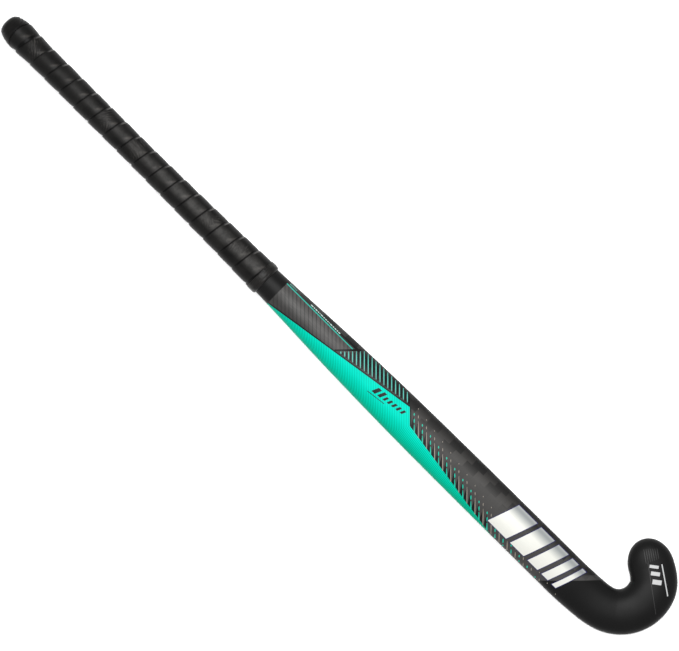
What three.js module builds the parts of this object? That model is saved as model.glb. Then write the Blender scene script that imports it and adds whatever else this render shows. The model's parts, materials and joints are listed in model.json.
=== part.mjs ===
// A field hockey stick: a hollow composite shaft and hooked head moulded over two inner tubes,
// with a plug and cap at the butt and a grip wound round the handle.
//
// Millimetres. +X runs from the butt to the head, +Y to the toe of the hook, and +Z from the
// flat playing face to the rounded back. The stick lies on its playing face, and the origin is
// under the middle of its bounding box.
//
// Every piece is a loft of sections along one spine. The spine is straight down the shaft and
// then turns through the hook. A place on the stick is given by s, the distance along the
// spine, u, the distance across it towards the toe side, and w, the height over the face.

import * as THREE from 'three';

// ---------------------------------------------------------------- driving dimensions

const LENGTH = 927; // overall, butt to the bottom of the head: a 36.5 in adult stick
const HOOK_REACH = 106.2; // from the start of the heel bend to the bottom of the head
const SHAFT_RUN = LENGTH - HOOK_REACH;
const LEAN_START = 240; // from here down the shaft leans slightly towards the toe side
const LEAN_RUN = 20;

// The spine as [run, turn in degrees], every turn being towards the toe side.
const SPINE = [
  [LEAN_START, 0],
  [LEAN_RUN, 0.2],
  [SHAFT_RUN - LEAN_START - LEAN_RUN, 0],
  [42, 5.4],
  [14, 11.4],
  [60, 93],
  [12, 27],
  [16, 16.6],
];
const TOE_START = SPINE.reduce((sum, [run]) => sum + run, 0);
const TOE_ROUND = 29; // the toe ends in half an ellipse of this length
const TIP_INSET = 1.3; // an inner skin's tip stays this many wall thicknesses inside the toe
const LOWEST_EDGE = 0.35; // the widest line is at least this part of the way up a section

// The moulded section as [s, value]: half its width, its thickness, the height of its widest
// line over the face, half the width of the flat of the face, and the height of the face over
// the ground, which is the bow of the stick.
const HALF_WIDTH = smooth([
  [0, 11.6], [10, 12.9], [18, 14], [36, 13.3], [54, 12.5], [180, 12.5], [300, 14], [400, 16.8],
  [500, 21], [600, 23.3], [700, 24], [821, 24.2], [877, 23.7], [937, 25.1], [965, 24.2],
]);
const THICKNESS = smooth([
  [0, 23.2], [10, 25.8], [18, 28], [36, 27], [54, 25.6], [180, 25.4], [400, 24], [500, 23],
  [600, 22.4], [700, 22], [860, 23], [937, 22], [965, 21],
]);
const EDGE_HEIGHT = smooth([
  [0, 11.6], [10, 12.9], [18, 14], [54, 12.8], [180, 12.6], [300, 11.5], [400, 9.4], [500, 7.4],
  [600, 6], [700, 5.3], [820, 5],
]);
const FACE_HALF_WIDTH = smooth([
  [0, 2.6], [180, 2.6], [300, 4], [400, 7], [500, 11.5], [600, 15], [700, 16.8], [820, 17.4],
]);
const FACE_HEIGHT = smooth([
  [0, 5], [10, 3.6], [20, 2.4], [36, 3.3], [54, 4.8], [180, 9], [400, 16.3], [520, 20],
  [620, 21.8], [700, 20.4], [760, 15.9], [820, 7.8], [862, 1.7], [890, 0],
]);
const BACK_POWER = smooth([[180, 2], [600, 2.2]]); // 2 is an ellipse, more is fuller
const WALL = smooth([
  [0, 3], [18, 3.6], [36, 3], [54, 2.1], [400, 2.1], [700, 2.4], [860, 3],
]);

const GAP = 0.3; // clearance between neighbouring pieces
const RIB_CORNER_WIDTH = 0.9; // a tube's rounded corner, as a part of the room across
const RIB_CORNER_HEIGHT = 0.3; // and as a part of the height inside the shell, at most
const CORD_REACH = 0.95; // how much of its channel's half-width a cord fills
const CORD_EDGE = 0.1; // thickness of a cord at its edges, at least
const TUBE_WALL = 1.2;
const TUBE_ENDS = [46, 846];
const BLADDER_CLEARANCE = 0.6;
const BLADDER_WALL = 0.5;
const BLADDER_ENDS = [90, 838];
const BUNG_ENDS = [48, 88];
const CORE_START = 848;

// The butt. Each profile is [s, inset from the moulding's outside].
const SHELL_START = 8; // the moulded end of the handle
const PLUG_END = 42;
const PLUG_FLANGE = [[3.2, 4.8], [4.6, 2.6], [SHELL_START - GAP, 0.9]];
const CAP_END = 15.2;
const CAP_DOME = [[0.35, 7.6], [1, 4.8], [2.5, 1.9], [5, 0.1], [8, -0.9], [CAP_END, -1.5]];
const CAP_BORE = [[2.9, 4.6], [4.3, 2.1], [7.6, -0.15], [CAP_END, -0.15]];

const GRIP_ENDS = [15.5, 380.8];
const GRIP_PITCH = 21.5;
const FIRST_LAP = 13.7; // where the strip's edge would cross the toe side after one turn
const GRIP_STRIP = 24.5; // width of the strip, so each turn covers 3 mm of the turn before
const GRIP_STEPS = 14; // steps in a turn
const GRIP_SEAT = 0.5; // height of its underside over the moulding, which clears the flat steps
// The strip's section as [distance from its butt-side edge, height over the moulding].
const GRIP_SECTION = [
  [0, 1.7], [4.2, GRIP_SEAT], [GRIP_STRIP, GRIP_SEAT],
  [GRIP_STRIP, 0.6], [21.3, 1.4], [8, 1.6], [0, 1.95],
];
const CUT_SLANT = 0.02; // a cut end leans this much for each millimetre of the strip's width
// The finishing tape's inner side as [s, height over the moulding].
const FINISH_SEAT = [[374.5, 2.25], [381.2, 2.25], [382.6, 1], [384, 0.2]];
const FINISH_WALL = 0.4;

// ---------------------------------------------------------------- curves and sections

// A smooth curve through [position, value] stations that never overshoots them.
function smooth(stations) {
  const last = stations.length - 1;
  const grade = (i) => (stations[i + 1][1] - stations[i][1]) / (stations[i + 1][0] - stations[i][0]);
  const slopes = stations.map((_, i) => {
    if (i === 0) return grade(0);
    if (i === last) return grade(last - 1);
    const product = grade(i - 1) * grade(i);
    return product <= 0 ? 0 : (2 * product) / (grade(i - 1) + grade(i));
  });
  return (position) => {
    const at = THREE.MathUtils.clamp(position, stations[0][0], stations[last][0]);
    const i = Math.min(last - 1, Math.max(0, stations.findIndex(([x]) => x >= at) - 1));
    const run = stations[i + 1][0] - stations[i][0];
    const t = (at - stations[i][0]) / run;
    const rise = t * t * (3 - 2 * t);
    return stations[i][1] * (1 - rise) + stations[i + 1][1] * rise
      + run * t * (1 - t) * (slopes[i] * (1 - t) - slopes[i + 1] * t);
  };
}

// The point of the spine at s, and its heading.
function spineAt(s) {
  let [x, y, heading, left] = [0, 0, 0, s];
  for (const [run, degrees] of [...SPINE, [Infinity, 0]]) {
    const step = Math.min(left, run);
    const turn = degrees === 0 ? 0 : (THREE.MathUtils.degToRad(degrees) * step) / run;
    const chord = turn === 0 ? step : (2 * Math.sin(turn / 2) * step) / turn;
    x += chord * Math.cos(heading + turn / 2);
    y += chord * Math.sin(heading + turn / 2);
    heading += turn;
    left -= step;
    if (left <= 0) break;
  }
  return { x, y, heading };
}

// The point of space at s along the stick, u across it and w over the face.
function place(s, [u, w]) {
  const { x, y, heading } = spineAt(s);
  return new THREE.Vector3(
    x - u * Math.sin(heading),
    y + u * Math.cos(heading),
    FACE_HEIGHT(s) + w,
  );
}

// The section at s, inset by a wall thickness (or outset, where that is negative).
function sectionAt(s, inset) {
  const q = Math.max(0, s - TOE_START) / (TOE_ROUND - TIP_INSET * inset);
  const half = (HALF_WIDTH(s) - inset) * Math.sqrt(1 - q ** 2);
  const floor = inset;
  const roof = THICKNESS(s) - inset;
  const edge = Math.max(EDGE_HEIGHT(s), floor + LOWEST_EDGE * (roof - floor));
  return {
    half,
    edge,
    back: (roof - edge) * Math.sqrt(1 - q ** 3),
    front: (edge - floor) * Math.sqrt(1 - q ** 6),
    flat: half * (FACE_HALF_WIDTH(s) / HALF_WIDTH(s)),
    power: BACK_POWER(s),
  };
}

const backAt = (section, u) => (
  section.edge + section.back * (1 - Math.abs(u / section.half) ** section.power) ** (1 / section.power)
);

function frontAt(section, u) {
  const past = Math.max(0, Math.abs(u) - section.flat) / (section.half - section.flat);
  return section.edge - section.front * Math.sqrt(1 - Math.min(1, past) ** 2);
}

// The width of the back at an angle from the widest line: 0 is the toe side, 90 is the middle.
function acrossAt(section, degrees) {
  const cosine = Math.cos(THREE.MathUtils.degToRad(degrees));
  return section.half * Math.sign(cosine) * Math.abs(cosine) ** (2 / section.power);
}

// One ring of points round a whole section, from the toe side over the back to the heel side
// and home along the face.
const BACK_ANGLES = steps(0, 180, 12);
const CORNER_ANGLES = steps(0, 90, 3);
function ringAt(s, inset) {
  const section = sectionAt(s, inset);
  const back = BACK_ANGLES.map((angle) => {
    const u = acrossAt(section, angle);
    return [u, Math.abs(u) < section.half ? backAt(section, u) : section.edge];
  });
  const corner = CORNER_ANGLES.slice(1).map((angle) => {
    const turn = THREE.MathUtils.degToRad(angle);
    return [
      section.flat + (section.half - section.flat) * Math.cos(turn),
      section.edge - section.front * Math.sin(turn),
    ];
  });
  const heelCorner = corner.map(([u, w]) => [-u, w]);
  return [...back, ...heelCorner, ...corner.reverse()].map((point) => place(s, point));
}

// The rounded corner that a tube has beside the central rib.
function ribCorner(section, offset, angle) {
  const room = acrossAt(section, angle) - offset;
  const height = backAt(section, offset) - frontAt(section, offset);
  return Math.min(RIB_CORNER_WIDTH * room, RIB_CORNER_HEIGHT * height);
}

// A ring round one half of a section: D-shaped, its straight side at an offset from the middle.
const TUBE_ANGLES = steps(0, 75, 5);
const FILM_ANGLES = steps(0, 60, 3);
function halfRingAt(s, inset, offset, side, angles) {
  const section = sectionAt(s, inset);
  const radius = ribCorner(section, offset, angles.at(-1));
  const arc = [90, 45, 0].map((angle) => {
    const turn = THREE.MathUtils.degToRad(angle);
    return [offset + radius * (1 - Math.cos(turn)), radius * (1 - Math.sin(turn))];
  });
  const across = angles.map((angle) => acrossAt(section, angle));
  const back = across.map((u) => [u, backAt(section, u)]);
  const front = across.slice(1).map((u) => [u, frontAt(section, u)]);
  const backCorner = arc.map(([u, depth]) => [u, backAt(section, u) - depth]);
  const frontCorner = arc.map(([u, depth]) => [u, frontAt(section, u) + depth]);
  const ring = [...back, ...backCorner, ...frontCorner.reverse(), ...front.reverse()];
  const sided = ring.map(([u, w]) => place(s, [side * u, w]));
  return side > 0 ? sided : sided.reverse();
}

// ---------------------------------------------------------------- lofting

function steps(from, to, count) {
  return Array.from({ length: count + 1 }, (_, i) => from + ((to - from) * i) / count);
}

// Stations from one s to another, closer together where the stick bends more.
function stationsBetween(from, to) {
  const all = [
    ...steps(6, 54, 6), ...steps(80, 800, 18), ...steps(815, 845, 2), ...steps(852, 965, 16),
  ];
  return [from, ...all.filter((s) => s > from + 1 && s < to - 1), to];
}

// One closed body through rings of equal size. A ring of one point closes an end. In a loop the
// last ring joins the first, which makes a sleeve that is open at both ends.
function loft(rings, loop = false) {
  const starts = [];
  const positions = [];
  for (const ring of rings) {
    starts.push(positions.length / 3);
    ring.forEach((point) => positions.push(point.x, point.y, point.z));
  }
  const index = [];
  const pairs = loop ? rings.length : rings.length - 1;
  for (let i = 0; i < pairs; i += 1) {
    const next = (i + 1) % rings.length;
    const size = Math.max(rings[i].length, rings[next].length);
    const here = (j) => starts[i] + (rings[i].length === 1 ? 0 : j % size);
    const there = (j) => starts[next] + (rings[next].length === 1 ? 0 : j % size);
    for (let j = 0; j < size; j += 1) {
      if (rings[i].length > 1) index.push(here(j), here(j + 1), there(j + 1));
      if (rings[next].length > 1) index.push(here(j), there(j + 1), there(j));
    }
  }
  const geometry = new THREE.BufferGeometry();
  geometry.setAttribute('position', new THREE.Float32BufferAttribute(positions, 3));
  geometry.setIndex(index);
  geometry.computeVertexNormals();
  return geometry;
}

function middleOf(ring) {
  const sum = ring.reduce((total, point) => total.add(point), new THREE.Vector3());
  return [sum.divideScalar(ring.length)];
}

const solid = (rings) => loft([middleOf(rings[0]), ...rings, middleOf(rings.at(-1))]);

// ---------------------------------------------------------------- the moulding

// Rings down to the toe and the point that closes them.
function ringsToToe(from, insetAt) {
  const inset = insetAt(TOE_START);
  const length = TOE_ROUND - TIP_INSET * inset;
  const toe = [20, 40, 55, 68, 78, 86].map((degrees) => (
    TOE_START + length * Math.sin(THREE.MathUtils.degToRad(degrees))
  ));
  const rings = [...stationsBetween(from, TOE_START), ...toe].map((s) => ringAt(s, insetAt(s)));
  return [...rings, [place(TOE_START + length, [0, sectionAt(TOE_START, inset).edge])]];
}

function compositeShell() {
  const outer = ringsToToe(SHELL_START, () => 0);
  const inner = ringsToToe(SHELL_START, WALL);
  return loft([...inner.reverse(), ...outer]);
}

function headCore() {
  const rings = ringsToToe(CORE_START, (s) => WALL(s) + GAP);
  return loft([middleOf(rings[0]), ...rings]);
}

// One of the two tubes that are laid up inside the shell, side by side.
function innerTube(side) {
  const along = stationsBetween(...TUBE_ENDS);
  const skin = (depth) => (s) => (
    halfRingAt(s, WALL(s) + GAP + depth, GAP / 2 + depth, side, TUBE_ANGLES)
  );
  const outer = along.map(skin(0));
  const inner = along.map(skin(TUBE_WALL));
  return loft([...outer, ...inner.reverse()], true);
}

// The film tube that presses an inner tube out while the stick is cured, closed at the head end.
function bladder(side) {
  const along = stationsBetween(...BLADDER_ENDS);
  const clearance = GAP + TUBE_WALL + BLADDER_CLEARANCE;
  const offset = GAP / 2 + TUBE_WALL + BLADDER_CLEARANCE;
  const skin = (depth) => (s) => (
    halfRingAt(s, WALL(s) + clearance + depth, offset + depth, side, FILM_ANGLES)
  );
  const outer = along.map(skin(0));
  const inner = along.slice(0, -1).map(skin(BLADDER_WALL));
  return loft([middleOf(inner.at(-1)), ...inner.reverse(), ...outer, middleOf(outer.at(-1))]);
}

function foamBung(side) {
  const offset = GAP / 2 + TUBE_WALL + GAP;
  const rings = steps(...BUNG_ENDS, 3).map((s) => (
    halfRingAt(s, WALL(s) + TUBE_WALL + 2 * GAP, offset, side, FILM_ANGLES)
  ));
  return solid(rings);
}

// The cord of fibre in the channel between the tubes' rounded corners and the shell.
function ribFiller(surfaceAt, direction) {
  const rings = stationsBetween(...TUBE_ENDS).map((s) => {
    const section = sectionAt(s, WALL(s) + GAP);
    const radius = ribCorner(section, GAP / 2, TUBE_ANGLES.at(-1));
    const centre = GAP / 2 + radius;
    const depthAt = (u) => Math.max(CORD_EDGE, radius - Math.sqrt((radius + GAP) ** 2 - (centre - u) ** 2));
    const reach = CORD_REACH * (centre - Math.sqrt((radius + GAP) ** 2 - radius ** 2));
    const across = [1, 0.5, 0, -0.5, -1].map((part) => part * reach);
    const deep = across.map((u) => [u, surfaceAt(section, u) + direction * depthAt(Math.abs(u))]);
    const near = across.map((u) => [u, surfaceAt(section, u)]);
    const ring = [...near, ...deep.reverse()].map((point) => place(s, point));
    return direction < 0 ? ring : ring.reverse();
  });
  return solid(rings);
}

// ---------------------------------------------------------------- the butt

function buttPlug() {
  const spigot = stationsBetween(SHELL_START - GAP, PLUG_END);
  const rings = [
    ...PLUG_FLANGE.map(([s, inset]) => ringAt(s, inset)),
    ...spigot.map((s) => ringAt(s, WALL(s) + GAP)),
  ];
  return solid(rings);
}

// The soft cup over the plug and the end of the handle.
function buttCap() {
  const outer = CAP_DOME.map(([s, inset]) => ringAt(s, inset));
  const inner = CAP_BORE.map(([s, inset]) => ringAt(s, inset));
  const tip = [place(0, [0, EDGE_HEIGHT(0)])];
  return loft([tip, ...outer, ...inner.reverse(), middleOf(inner.at(-1))]);
}

// ---------------------------------------------------------------- the grip

// A point a part of the way round the outside of the handle, at a height over the moulding.
function roundHandle(s, around, height) {
  const section = sectionAt(s, -height);
  const angle = THREE.MathUtils.euclideanModulo(around, 1) * 360;
  if (angle <= 180) {
    const u = acrossAt(section, angle);
    return place(s, [u, Math.abs(u) < section.half ? backAt(section, u) : section.edge]);
  }
  const turn = THREE.MathUtils.degToRad(angle);
  const u = section.half * Math.cos(turn);
  return place(s, [u, frontAt(section, u)]);
}

// The strip is wound from the butt to the head. Each turn's butt-side edge lies on the head-side
// edge of the turn before, and both edges are pared thin. The strip's ends are cut square to
// the handle, so its first and last turns taper.
function gripTape() {
  const [start, end] = GRIP_ENDS;
  const turns = (end - FIRST_LAP) / GRIP_PITCH + 1;
  const rings = steps(0, turns, Math.round(turns * GRIP_STEPS)).map((turn) => {
    const edge = FIRST_LAP + (turn - 1) * GRIP_PITCH;
    const points = GRIP_SECTION.map(([x, height]) => {
      const lean = CUT_SLANT * (x + 1);
      const s = THREE.MathUtils.clamp(edge + x, start + lean, end - CUT_SLANT * GRIP_STRIP + lean);
      return roundHandle(s, -turn, height);
    });
    return points.reverse();
  });
  return solid(rings);
}

// The band of vinyl tape that holds down the end of the grip, lapping onto the bare shaft.
function finishTape() {
  const inner = FINISH_SEAT.map(([s, height]) => ringAt(s, -height));
  const outer = FINISH_SEAT.map(([s, height]) => ringAt(s, -height - FINISH_WALL));
  return loft([...outer, ...inner.reverse()], true);
}

// ---------------------------------------------------------------- materials and assembly

const material = (color, roughness) => new THREE.MeshStandardMaterial({ color, roughness, metalness: 0 });
const lacqueredLaminate = material(0x2c2c2d, 0.35);
const bareLaminate = material(0x242628, 0.6);
const nylonFilm = material(0xcfc8a8, 0.3);
const fibreCord = material(0x3a3a38, 0.8);
const syntacticFoam = material(0x8d8a7c, 0.8);
const softFoam = material(0xd8cfa4, 0.9);
const mouldedPlug = material(0x1d1d1f, 0.5);
const polyurethane = material(0x333230, 0.6);
const vinyl = material(0x29292a, 0.4);

const [TOE_SIDE, HEEL_SIDE] = [1, -1];
const pieces = {
  composite_shell: [compositeShell(), lacqueredLaminate],
  inner_tube_toe_side: [innerTube(TOE_SIDE), bareLaminate],
  inner_tube_heel_side: [innerTube(HEEL_SIDE), bareLaminate],
  bladder_toe_side: [bladder(TOE_SIDE), nylonFilm],
  bladder_heel_side: [bladder(HEEL_SIDE), nylonFilm],
  rib_filler_back: [ribFiller(backAt, -1), fibreCord],
  rib_filler_face: [ribFiller(frontAt, 1), fibreCord],
  head_core: [headCore(), syntacticFoam],
  foam_bung_toe_side: [foamBung(TOE_SIDE), softFoam],
  foam_bung_heel_side: [foamBung(HEEL_SIDE), softFoam],
  butt_plug: [buttPlug(), mouldedPlug],
  butt_cap: [buttCap(), polyurethane],
  grip_tape: [gripTape(), polyurethane],
  finish_tape: [finishTape(), vinyl],
};

const stick = new THREE.Group();
for (const [name, [geometry, look]] of Object.entries(pieces)) {
  const mesh = new THREE.Mesh(geometry, look);
  mesh.name = name;
  stick.add(mesh);
}

const box = new THREE.Box3().setFromObject(stick);
const middle = box.getCenter(new THREE.Vector3());
stick.position.set(-middle.x, -middle.y, -box.min.z);

export default stick;
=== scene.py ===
import json
import math

import bpy
import numpy as np
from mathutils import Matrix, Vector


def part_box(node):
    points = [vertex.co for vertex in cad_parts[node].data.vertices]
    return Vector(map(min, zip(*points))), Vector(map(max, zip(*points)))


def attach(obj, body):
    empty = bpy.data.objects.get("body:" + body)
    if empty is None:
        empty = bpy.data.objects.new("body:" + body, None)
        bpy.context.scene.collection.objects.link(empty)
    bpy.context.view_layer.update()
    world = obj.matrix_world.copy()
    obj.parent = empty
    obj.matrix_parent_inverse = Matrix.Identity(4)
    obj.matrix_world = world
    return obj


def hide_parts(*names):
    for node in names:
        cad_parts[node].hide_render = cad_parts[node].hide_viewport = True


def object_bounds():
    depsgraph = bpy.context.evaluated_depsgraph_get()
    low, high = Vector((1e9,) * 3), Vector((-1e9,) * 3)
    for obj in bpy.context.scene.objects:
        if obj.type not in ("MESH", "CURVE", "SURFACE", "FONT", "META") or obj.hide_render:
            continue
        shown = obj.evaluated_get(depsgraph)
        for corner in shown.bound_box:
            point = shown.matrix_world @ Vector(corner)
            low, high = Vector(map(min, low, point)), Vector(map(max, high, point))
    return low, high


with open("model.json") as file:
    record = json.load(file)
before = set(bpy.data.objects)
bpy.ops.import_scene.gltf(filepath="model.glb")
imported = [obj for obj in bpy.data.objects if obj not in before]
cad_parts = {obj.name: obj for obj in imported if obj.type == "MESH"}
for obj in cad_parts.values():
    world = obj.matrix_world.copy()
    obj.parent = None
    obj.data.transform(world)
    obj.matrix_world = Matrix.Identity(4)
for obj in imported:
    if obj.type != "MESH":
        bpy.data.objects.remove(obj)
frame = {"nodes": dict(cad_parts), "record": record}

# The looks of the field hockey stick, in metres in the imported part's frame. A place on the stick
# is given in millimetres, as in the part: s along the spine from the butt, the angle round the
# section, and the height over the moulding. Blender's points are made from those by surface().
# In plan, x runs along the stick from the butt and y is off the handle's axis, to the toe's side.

CAD_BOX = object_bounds()
MM = 0.001
CAP_LOW, CAP_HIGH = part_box("butt_cap")
BUTT_X = CAP_LOW.x
AXIS_Y = (CAP_LOW.y + CAP_HIGH.y) / 2
GROUND_Z = CAD_BOX[0][2]

# ---- the moulding's dimensions

LENGTH = 927
HOOK_REACH = 106.2
SHAFT_RUN = LENGTH - HOOK_REACH
LEAN_START = 240
LEAN_RUN = 20
SPINE = [
    (LEAN_START, 0), (LEAN_RUN, 0.2), (SHAFT_RUN - LEAN_START - LEAN_RUN, 0),
    (42, 5.4), (14, 11.4), (60, 93), (12, 27), (16, 16.6),
]
TOE_START = sum(run for run, _ in SPINE)
TOE_ROUND = 29
TIP_INSET = 1.3
SHELL_START = 8


def smooth(stations):
    """A smooth curve through (position, value) stations that never overshoots them."""
    at, value = np.array(stations, float).T
    run = np.diff(at)
    grade = np.diff(value) / run
    product = grade[:-1] * grade[1:]
    total = np.where(product > 0, grade[:-1] + grade[1:], 1)
    inner = np.where(product > 0, 2 * product / total, 0)
    slope = np.concatenate([grade[:1], inner, grade[-1:]])

    def curve(position):
        place = np.clip(position, at[0], at[-1])
        i = np.clip(np.searchsorted(at, place) - 1, 0, len(run) - 1)
        t = (place - at[i]) / run[i]
        rise = t * t * (3 - 2 * t)
        bend = run[i] * t * (1 - t) * (slope[i] * (1 - t) - slope[i + 1] * t)
        return value[i] * (1 - rise) + value[i + 1] * rise + bend

    return curve


# Each of these curves gives a dimension at s. Their stations are (s, value).
HALF_WIDTH = smooth([
    (0, 11.6), (10, 12.9), (18, 14), (36, 13.3), (54, 12.5), (180, 12.5), (300, 14), (400, 16.8),
    (500, 21), (600, 23.3), (700, 24), (821, 24.2), (877, 23.7), (937, 25.1), (965, 24.2),
])
THICKNESS = smooth([
    (0, 23.2), (10, 25.8), (18, 28), (36, 27), (54, 25.6), (180, 25.4), (400, 24), (500, 23),
    (600, 22.4), (700, 22), (860, 23), (937, 22), (965, 21),
])
EDGE_HEIGHT = smooth([
    (0, 11.6), (10, 12.9), (18, 14), (54, 12.8), (180, 12.6), (300, 11.5), (400, 9.4), (500, 7.4),
    (600, 6), (700, 5.3), (820, 5),
])
FACE_HALF_WIDTH = smooth([
    (0, 2.6), (180, 2.6), (300, 4), (400, 7), (500, 11.5), (600, 15), (700, 16.8), (820, 17.4),
])
FACE_HEIGHT = smooth([
    (0, 5), (10, 3.6), (20, 2.4), (36, 3.3), (54, 4.8), (180, 9), (400, 16.3), (520, 20),
    (620, 21.8), (700, 20.4), (760, 15.9), (820, 7.8), (862, 1.7), (890, 0),
])
BACK_POWER = smooth([(180, 2), (600, 2.2)])
WALL = smooth([(0, 3), (18, 3.6), (36, 3), (54, 2.1), (400, 2.1), (700, 2.4), (860, 3)])
LOWEST_EDGE = 0.35  # the widest line is at least this part of the way up a section

# ---- places on the stick


def spine_at(s):
    """The point of the spine at s, from the butt's tip, and its heading. It ends straight."""
    left = np.asarray(s, float)
    x, y, heading = 0 * left, 0 * left, 0 * left
    for run, degrees in [*SPINE, (1e6, 0)]:
        step = np.clip(left, 0, run)
        turn = math.radians(degrees) * step / run
        chord = step * np.sinc(turn / (2 * np.pi))
        x = x + chord * np.cos(heading + turn / 2)
        y = y + chord * np.sin(heading + turn / 2)
        heading = heading + turn
        left = left - step
    return x, y, heading


def section_at(s, height):
    """The moulded section at s, grown by a height."""
    inset = -np.asarray(height, float)
    q = np.clip((s - TOE_START) / (TOE_ROUND - TIP_INSET * inset), 0, 1)
    half = (HALF_WIDTH(s) - inset) * np.sqrt(1 - q**2)
    roof = THICKNESS(s) - inset
    edge = np.maximum(EDGE_HEIGHT(s), inset + LOWEST_EDGE * (roof - inset))
    back = (roof - edge) * np.sqrt(1 - q**3)
    front = (edge - inset) * np.sqrt(1 - q**6)
    flat = half * FACE_HALF_WIDTH(s) / HALF_WIDTH(s)
    return half, edge, back, front, flat, BACK_POWER(s)


# Angles round a section: 0 is the toe side's widest line, 90 the middle of the back, 180 the
# heel side's widest line, and the flat of the face runs from 240 to 300.
MIDDLE, HEEL_EDGE, FLAT_START, FLAT_MIDDLE, FLAT_END = 90, 180, 240, 270, 300


def turned_from(centre, angle):
    """The degrees from a centre to an angle, from -180 to 180."""
    return (angle - centre + 180) % 360 - 180


def surface(s, angle, height=0.0):
    """Points in metres at s, at an angle round the section and a height over the moulding."""
    s, angle, height = np.broadcast_arrays(*(np.asarray(a, float) for a in (s, angle, height)))
    half, edge, back, front, flat, power = section_at(s, height)
    angle = angle % 360
    cosine = np.cos(np.radians(angle))
    over = np.abs(cosine) ** (2 / power)
    rise = np.abs(np.sin(np.radians(angle))) ** (2 / power)
    corner = np.where(angle < FLAT_START, angle - HEEL_EDGE, 360 - angle)
    turn = np.radians(90 * np.clip(corner / (FLAT_START - HEEL_EDGE), 0, 1))
    round_u = flat + (half - flat) * np.cos(turn)
    flat_u = flat * (angle - FLAT_MIDDLE) / (FLAT_END - FLAT_MIDDLE)
    is_back = angle <= HEEL_EDGE
    is_flat = (angle >= FLAT_START) & (angle <= FLAT_END)
    side = np.where(angle < FLAT_MIDDLE, -1, 1)
    u = np.where(is_back, half * np.sign(cosine) * over, np.where(is_flat, flat_u, side * round_u))
    w = np.where(is_back, edge + back * rise, edge - front * np.sin(turn))
    x, y, heading = spine_at(s)
    return np.stack([
        BUTT_X + MM * (x - u * np.sin(heading)),
        AXIS_Y + MM * (y + u * np.cos(heading)),
        GROUND_Z + MM * (FACE_HEIGHT(s) + w),
    ], -1)


def on_back(s, u):
    """The (s, angle) of a point of the back that lies u across from the spine."""
    half, _, _, _, _, power = section_at(s, 0)
    part = np.clip(u / half, -1, 1)
    return np.stack(np.broadcast_arrays(
        s, np.degrees(np.arccos(np.sign(part) * np.abs(part) ** (power / 2)))
    ), -1)


def on_shaft(x, y):
    """The (s, angle) of a point of the shaft's back, from its plan place along and off the axis."""
    return on_back(np.asarray(x, float), y - spine_at(x)[1])


def girth_at(s, angle):
    """How far round from the middle of the back a place lies, towards the toe side."""
    part = np.linspace(0, 1, 25)
    turned = MIDDLE + (np.asarray(angle)[..., None] - MIDDLE) * part
    points = surface(np.asarray(s)[..., None], turned)
    reach = np.linalg.norm(np.diff(points, axis=-2), axis=-1).sum(-1)
    return np.where(angle < MIDDLE, reach, -reach)


# ---- meshes


def loft(rings, uv, first=None, last=None, loop=False):
    """Points, faces and their corners' UVs of a body through rings of equal size.

    first and last are the points that close its ends. A loop's last ring joins its first.
    """
    rows, size = rings.shape[:2]
    row = np.arange(rows if loop else rows - 1)[:, None]
    column = np.arange(size)[None, :]
    after, beside = (row + 1) % rows, (column + 1) % size
    quads = np.stack(np.broadcast_arrays(
        row * size + column, row * size + beside, after * size + beside, after * size + column
    ), -1).reshape(-1, 4)
    points = [rings.reshape(-1, 3)]
    faces = quads.tolist()
    corners = [np.stack([
        uv[row, column], uv[row, column + 1], uv[row + 1, column + 1], uv[row + 1, column]
    ], 2).reshape(-1, 2)]
    here, there = np.arange(size), (np.arange(size) + 1) % size
    for tip, ring in ((first, 0), (last, rows - 1)):
        if tip is None:
            continue
        index = rows * size + len(points) - 1
        points.append(np.reshape(tip, (1, 3)))
        base = ring * size
        faces += np.stack([base + there, base + here, np.full(size, index)], -1).tolist()
        edge = uv[ring]
        corners.append(np.stack([edge[1:], edge[:-1], edge[:-1]], 1).reshape(-1, 2))
    return np.concatenate(points), faces, np.concatenate(corners)


def joined(bodies):
    """Several lofts as one mesh's points, faces and UVs."""
    points, faces, corners, count = [], [], [], 0
    for body_points, body_faces, body_corners in bodies:
        points.append(body_points)
        faces += [[count + i for i in face] for face in body_faces]
        corners.append(body_corners)
        count += len(body_points)
    return np.concatenate(points), faces, np.concatenate(corners)


def placed(name, data):
    """A new object of some data, put into the scene."""
    made = bpy.data.objects.new(name, data)
    bpy.context.scene.collection.objects.link(made)
    return made


UV_NAME = "stick"
SHARP_ANGLE = math.radians(50)


def piece(name, body, material, slot, *nodes):
    """An object of the stick, from a loft, which stands for the CAD nodes that are named."""
    points, faces, corners = body
    mesh = bpy.data.meshes.new(name)
    mesh.from_pydata(points.tolist(), [], faces)
    mesh.uv_layers.new(name=UV_NAME).data.foreach_set("uv", corners.ravel())
    mesh.validate()
    mesh.shade_smooth()
    mesh.set_sharp_from_angle(angle=SHARP_ANGLE)
    mesh.materials.append(material)
    made = placed(name, mesh)
    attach(made, "root")
    if nodes:
        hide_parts(*nodes)


# ---- material nodes


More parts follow.
